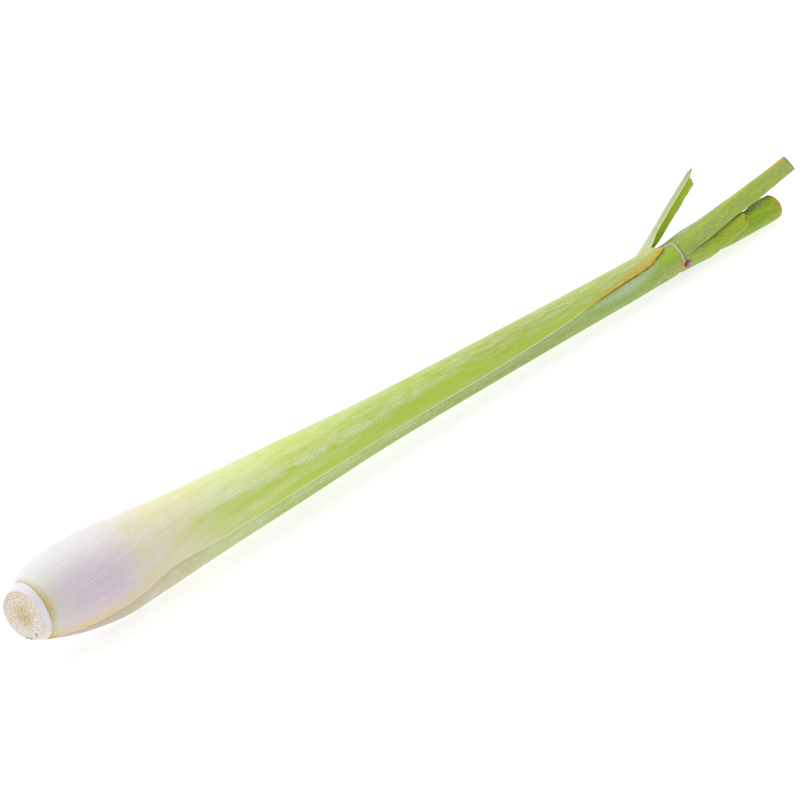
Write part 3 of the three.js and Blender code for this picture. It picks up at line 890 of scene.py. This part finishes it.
# the waxy sheath of a leaf base: white where no light reached it, greening upwards under a rubbed bloom
outerMaterial = leafMaterial(
    "waxySheath",
    along=[(3, "#d6d4c0"), (5, "#dbd9d3"), (10, "#dbd4da"), (18, "#dfd6dc"), (26, "#e1d9d6"),
           (34, "#e3dccb"), (42, "#e3ddb8"), (51, "#e1dfa8"), (61, "#d9e49c"), (74, "#d8e592"),
           (87, "#cfe06e"), (103, "#c4d95e"), (120, "#b9cf55"), (137, "#b4cb4e"), (155, "#aec443"),
           (177, "#a8bb42"), (198, "#a8be46"), (220, "#acbf4c"), (236, "#b0ba56"), (246, "#bac278")],
    painted=[
        ("#dfd68f", "blotch", ("cloud", 0.34, 0.7), ("patch", 0.3, 0.65, 0.4), 0.72),
        ("#e2dce0", "blotch", ("cloud", 0.58, 0.26), ("fleck", 0.3, 0.6, 0.4), 0.3),
        # painted shade on the top side, where the key light falls strongest
        ("#aec26c", "upper", ("patch", 0.3, 0.7, 0.3), 0.75),
        ("#c4d98a", "fresh", ("cloud", 0.42, 0.65), 0.3),
        ("#d5c5d0", "mauve", ("fine", 0.25, 0.65, 0.6)),
        ("#e0c6c9", "pink", ("patch", 0.25, 0.65, 0.4)),
        ("#dddddf", "white", ("broad", 0.3, 0.6, 0.7)),
        ("#f1eff2", "hair", ("line", 0.62, 0.95), ("hair", 0.42, 0.62), 0.75),
        ("#f1eff2", "hair", ("grain", 0.52, 0.66), 0.4),
        ("#beb1b9", "hair", ("grain", 0.48, 0.34), 0.4),
        ("#b4ce3a", "fresh", ("broad", 0.35, 0.6, 0.35)),
        ("#c6dba0", "rubbed", ("fleck", 0.4, 0.6, 0.2)),
        # darker green line along the roll's top edge as the camera sees it
        ("#a0b268", "crest", ("broad", 0.3, 0.6, 0.3), 0.4),
        ("#e6ebd2", "pale", ("grain", 0.46, 0.56), ("cloud", 0.38, 0.52)),
        ("#e6ebd2", "streak", ("line", 0.6, 0.9), ("fleck", 0.4, 0.6), 0.8),
        ("#dbb079", "warm", ("broad", 0.3, 0.6, 0.45), 0.85),
        ("#dccb8a", "lower", ("fleck", 0.3, 0.6, 0.4), 0.75),
        ("#d0d0bb", "beyondRing", ("broad", 0.3, 0.6, 0.5), 0.5),
        ("#cbb26b", "ring", ("fine", 0.35, 0.6, 0.6)),
        ("#c98f34", "golden", ("fleck", 0.3, 0.6, 0.4)),
        # pale edges: whitish thin tissue, with a painted highlight along them
        ("#dbe4d6", "rim", ("fine", 0.2, 0.4, 0.7)),
        ("#c0b038", "yellowed", ("mottle", 0.3, 0.6, 0.4, 1), 0.7),
        ("#d6bb48", "dry", ("broad", 0.3, 0.5, 0.75)),
        ("#c6a22a", "dry", ("mottle", 0.42, 0.62), 0.6),
        ("#8a5c1a", "dry", ("mottle", 0.44, 0.32), ("fleck", 0.42, 0.56), 0.75),
        ("#7a4a1c", "brownRim", ("fleck", 0.35, 0.55, 0.5)),
    ],
    wax=("#e4e6d8", 0.3), vein=("#93a040", 0.27), line=("#dde5b0", 0.15), mottled=0.16, inner="#c9d291",
)
# what is left of a blade that was torn off: dull outside where it has dried, still moist and bright within
stubMaterial = leafMaterial(
    "tornBlade",
    along=[(232, "#c3c9a2"), (246, "#b9c391"), (256, "#aab779"), (274, "#9ba87b")],
    painted=[
        ("#c9c7c0", "foot", ("patch", 0.2, 0.6, 0.4)),
        ("#cdd08f", "rim", ("fine", 0.3, 0.5, 0.5)),
        ("#a89b78", "torn", ("fine", 0.3, 0.5, 0.5)),
    ],
    wax=("#c9d2a8", 0.45), vein=("#7c8f4a", 0.5), inner="#aac41a",
)
# a leaf with a blue-grey bloom, thickest where the leaf outside it has just peeled away
secondMaterial = leafMaterial(
    "glaucousLeaf",
    along=[(5, "#c9b3a6"), (24, "#c6b5a2"), (37, "#cac19c"), (49, "#c6c58c"), (61, "#bcc77f"),
           (74, "#b0c166"), (87, "#a9bd5b"), (103, "#a6bc56"), (120, "#a3ba51"), (137, "#9eb64c"),
           (155, "#98ac4a"), (177, "#95a952"), (198, "#98b056"), (222, "#99b152"), (240, "#99af42"),
           (256, "#9bb04e"), (284, "#9bb03c"), (309, "#99a94e")],
    painted=[
        ("#d9d0c6", "blotch", ("cloud", 0.42, 0.62), 0.55),
        ("#ccc58c", "blotch", ("cloud", 0.52, 0.36), 0.5),
        ("#c6db90", "bloom", ("patch", 0.3, 0.6, 0.4), 0.6),
        ("#cfddb6", "bloom", ("grain", 0.48, 0.58), ("cloud", 0.35, 0.55, 0.2), 0.75),
        ("#b3cfae", "blue", ("patch", 0.3, 0.6, 0.3), 0.6),
        ("#d3e3cf", "blue", ("grain", 0.47, 0.56), ("cloud", 0.35, 0.5, 0.3), 0.9),
        # painted shade on the second leaf's underside
        ("#7c9430", "low", ("broad", 0.3, 0.6, 0.6), 0.95),
        ("#9cc42c", "fresh", ("patch", 0.3, 0.6, 0.3)),
        ("#aabf38", ("along", 250, 258), ("cloud", 0.48, 0.62), 0.5),
        ("#8aa468", ("along", 250, 258), ("cloud", 0.5, 0.36), 0.5),
        ("#bcc6a0", "strip", ("broad", 0.3, 0.55, 0.6)),
        ("#bcc92b", "yellow", ("broad", 0.3, 0.5, 0.5)),
        ("#c2a263", "tan", ("fleck", 0.35, 0.6, 0.3)),
        ("#d3cfcb", "membrane", ("fine", 0.25, 0.4, 0.7)),
        # painted shade in the fold below the collar membrane
        ("#6b5846", "crease", ("fine", 0.25, 0.4, 0.7)),
        ("#b1bb74", "rim", ("fine", 0.3, 0.5, 0.6)),
        ("#c9a72e", "tip", ("broad", 0.3, 0.5, 0.6)),
        ("#b49a74", "corner", ("fine", 0.3, 0.5, 0.5)),
        ("#8d7a4c", "cut", ("fine", 0.3, 0.5, 0.7)),
    ],
    wax=("#c3d39c", 0.35), vein=("#728f34", 0.45), line=("#b9cb80", 0.3), mottled=0.4, inner="#a3bd3a",
)
# a younger leaf that the others have kept moist: greener, with little wax
thirdMaterial = leafMaterial(
    "greenSheath",
    along=[(8, "#d8d2b0"), (60, "#c9d690"), (240, "#9fb748"), (262, "#a3b936"), (287, "#9cb41a")],
    painted=[
        ("#95a56a", "under", ("patch", 0.2, 0.6, 0.5)),
        ("#b0bf2c", ("along", 245, 255), ("cloud", 0.48, 0.62), 0.5),
        ("#829c34", ("along", 245, 255), ("cloud", 0.5, 0.36), 0.5),
        ("#a2b526", "fresh", ("broad", 0.3, 0.6, 0.4)),
        ("#c9cb74", "rim", ("fine", 0.3, 0.5, 0.7)),
        ("#8a6a3c", "auricle", ("fleck", 0.3, 0.5, 0.6)),
        # painted shadow beside the second blade's free edge
        ("#5b7420", "crease", 0.75),
    ],
    wax=("#b6c96c", 0.4), vein=("#62801a", 0.6), line=("#b0c558", 0.3), mottled=0.6, inner="#a8c040",
)
# the heart of the stalk: the youngest leaf, thin and full of water, so its colour is the strongest
innerMaterial = leafMaterial(
    "innerLeaf",
    along=[(11, "#e0dcc0"), (60, "#d5e0a0"), (240, "#98b426"), (280, "#90ae08"), (295, "#93b00a")],
    painted=[
        ("#93ad50", "under", ("patch", 0.2, 0.6, 0.6)),
        ("#a0be1c", ("along", 250, 260), ("cloud", 0.48, 0.62), 0.55),
        ("#76941c", ("along", 250, 260), ("cloud", 0.5, 0.36), 0.5),
        ("#bccba0", "band", ("fine", 0.3, 0.6, 0.4)),
        ("#6a5a30", "edge", ("fleck", 0.3, 0.5, 0.6)),
        ("#c79a3c", "cut", ("fleck", 0.35, 0.6, 0.5)),
    ],
    wax=("#abc844", 0.4), vein=("#5e7f00", 0.6), line=("#a4c336", 0.3), mottled=0.6, inner="#a9c63c",
)


def tissueMaterial(name, roughness, base, layers, depth):
    # plant tissue with no veins to follow, coloured by place in millimetres
    material, tree, shader = startMaterial(name, roughness)
    metre = 1 / millimetre
    place = addNode(tree, "ShaderNodeTexCoord").outputs["Object"]
    dots = {"Vector": place, "Scale": metre / bundlePitch, "Randomness": 0.9}
    bundles = addNode(tree, "ShaderNodeTexVoronoi", dots).outputs["Distance"]
    sources = sourcesOf(tree, place, layers, pith, {"bundle": bundles}, unit=metre)
    tree.links.new(layered(tree, sources, base, layers), shader.inputs["Base Color"])
    rough = addNode(tree, "ShaderNodeMix", {0: 0.5, 2: sources["crumb"], 3: sources["bundle"]}).outputs[0]
    relief = {"Height": rough, "Strength": 0.5, "Distance": depth * millimetre}
    tree.links.new(addNode(tree, "ShaderNodeBump", relief).outputs[0], shader.inputs["Normal"])
    return material


# a root cut across with a knife: damp pith, with the ends of its vascular bundles as dots, drying at the rim
discMaterial = tissueMaterial("cutPith", 0.62, "#dfd2be", [
    ("#e4d9d2", ("mottle", 0.42, 0.6)),
    ("#ece6e4", "whitish", 0.7),
    ("#d0bb7c", "centre", 0.7),
    ("#ab8648", ("bundle", 0.5, 0.3), ("crumb", 0.3, 0.6, 0.5, 1), 0.75),
    ("#f6f2ee", ("crumb", 0.53, 0.62), 0.75),
    ("#a5802c", ("crumb", 0.47, 0.4), "centre", 0.85),
    ("#d9b17c", "rim", ("mottle", 0.3, 0.6, 0.5, 1), 0.8),
    ("#8a5f26", "nick", ("crumb", 0.35, 0.55, 0.5, 1)),
], depth=0.1)
# living stem skin, polished where the roots were pared off: satin, faintly violet, creamy where it is thin
shoulderMaterial = tissueMaterial("paredStem", 0.42, "#e0dee5", [
    ("#dfdfe2", "top"),
    ("#dccfb9", "creamy", ("blot", 0.3, 0.6, 0.6)),
    ("#ebe8ea", ("blot", 0.45, 0.65), 0.5),
    ("#c9bfae", ("crumb", 0.55, 0.7), 0.25),
    ("#dcc39c", "pared", ("mottle", 0.3, 0.6, 0.2)),
    ("#cdb673", "scar", ("crumb", 0.3, 0.6, 0.6)),
], depth=0.03)
# a membrane two or three cells thick, dried to a silvery skin: it scatters all colours, so it looks grey
membraneMaterial = tissueMaterial("driedMembrane", 0.5, "#bdb4b6", [
    ("#d9d4d6", ("crumb", 0.42, 0.6)),
    ("#8f8078", ("mottle", 0.52, 0.68), 0.7),
], depth=0.05)
# a lobe full of red pigment, browned where it has dried out at its foot
earMaterial = tissueMaterial("driedLobe", 0.45, "#5e2f2a", [
    ("#8a5260", ("rise", 0, 0.45)),
    ("#b58a9c", ("rise", 0.35, 0.9), ("crumb", 0.3, 0.6, 0.5, 1)),
], depth=0.06)
# dry fibres from the torn edge: straw that has lost its water, dull and grey-brown
strandMaterial = tissueMaterial("dryFibre", 0.6, "#8d8470", [("#5d4a30", ("mottle", 0.45, 0.6))], depth=0.02)
print("leaf and stem materials made")

leafPiece("outerSheath", "outer_leaf", outerSheath, outerMaterial)
leafPiece("outerStub", "outer_leaf", outerStub, stubMaterial)
leafPiece("secondLeaf", "second_leaf", secondLeaf, secondMaterial)
leafPiece("thirdLeaf", "third_leaf", thirdLeaf, thirdMaterial)
leafPiece("innerLeaf", "inner_leaf", innerLeaf, innerMaterial)
stemPiece([discMaterial, shoulderMaterial])
strandPiece("ligule", "second_leaf", ligule, ligulePath, membraneMaterial)
earPiece(earMaterial)
for i, run in enumerate(strands["runs"]):
    strandPiece(f"strand{i + 1}", "outer_leaf", strands, strandPath(*run), strandMaterial)

# the camera looks down on the stalk from the side of its root end
view = {
    "position": (-0.59885, -0.61707, 0.57288),
    "target": (0.11223, 0.00363, 0.008),
    "lens": 189.99,
    "sensor": 36,
    "nearest": 0.05,
}


def aimed(thing, position):
    thing.location = position
    thing.rotation_euler = (Vector(view["target"]) - thing.location).to_track_quat("-Z", "Y").to_euler()
    scene.collection.objects.link(thing)
    return thing


camera = aimed(bpy.data.objects.new("camera", bpy.data.cameras.new("camera")), view["position"])
camera.data.lens = view["lens"]
camera.data.sensor_width = view["sensor"]
camera.data.clip_start = view["nearest"]
scene.camera = camera
print("camera placed")

# a white sky with one large soft light, over a pale floor that glows enough to look white
studio = {
    "worldStrength": 0.66,
    "keyStrength": 13.5,
    "keySize": 1.8,
    "keyPosition": (0.05, 0.65, 1),
    "floorSize": 4,
    "floorCentre": (0.1, 0, -0.0002),
    "floorGlow": 0.72,
}
floorMesh = bmesh.new()
bmesh.ops.create_grid(floorMesh, x_segments=8, y_segments=8, size=studio["floorSize"])
bmesh.ops.translate(floorMesh, verts=floorMesh.verts[:], vec=studio["floorCentre"])
floorData = bpy.data.meshes.new("floor")
floorMesh.to_mesh(floorData)
floorMesh.free()
floor = bpy.data.objects.new("floor", floorData)
scene.collection.objects.link(floor)
# a matt painted floor: an even pale ground with no highlight
floorMaterial, _, floorShader = startMaterial("paleFloor", 0.9, specular=0)
floorShader.inputs["Base Color"].default_value = colour("#b4b4b4")
floorShader.inputs["Emission Color"].default_value = colour("#ffffff")
floorShader.inputs["Emission Strength"].default_value = studio["floorGlow"]
floorData.materials.append(floorMaterial)

world = bpy.data.worlds.new("studio")
scene.world = world
world.use_nodes = True
sky = world.node_tree.nodes["Background"]
sky.inputs["Color"].default_value = colour("#ffffff")
sky.inputs["Strength"].default_value = studio["worldStrength"]
key = aimed(bpy.data.objects.new("keyLight", bpy.data.lights.new("keyLight", "AREA")), studio["keyPosition"])
key.data.energy = studio["keyStrength"]
key.data.size = studio["keySize"]
scene.view_settings.view_transform = "Standard"
print("floor and light placed")
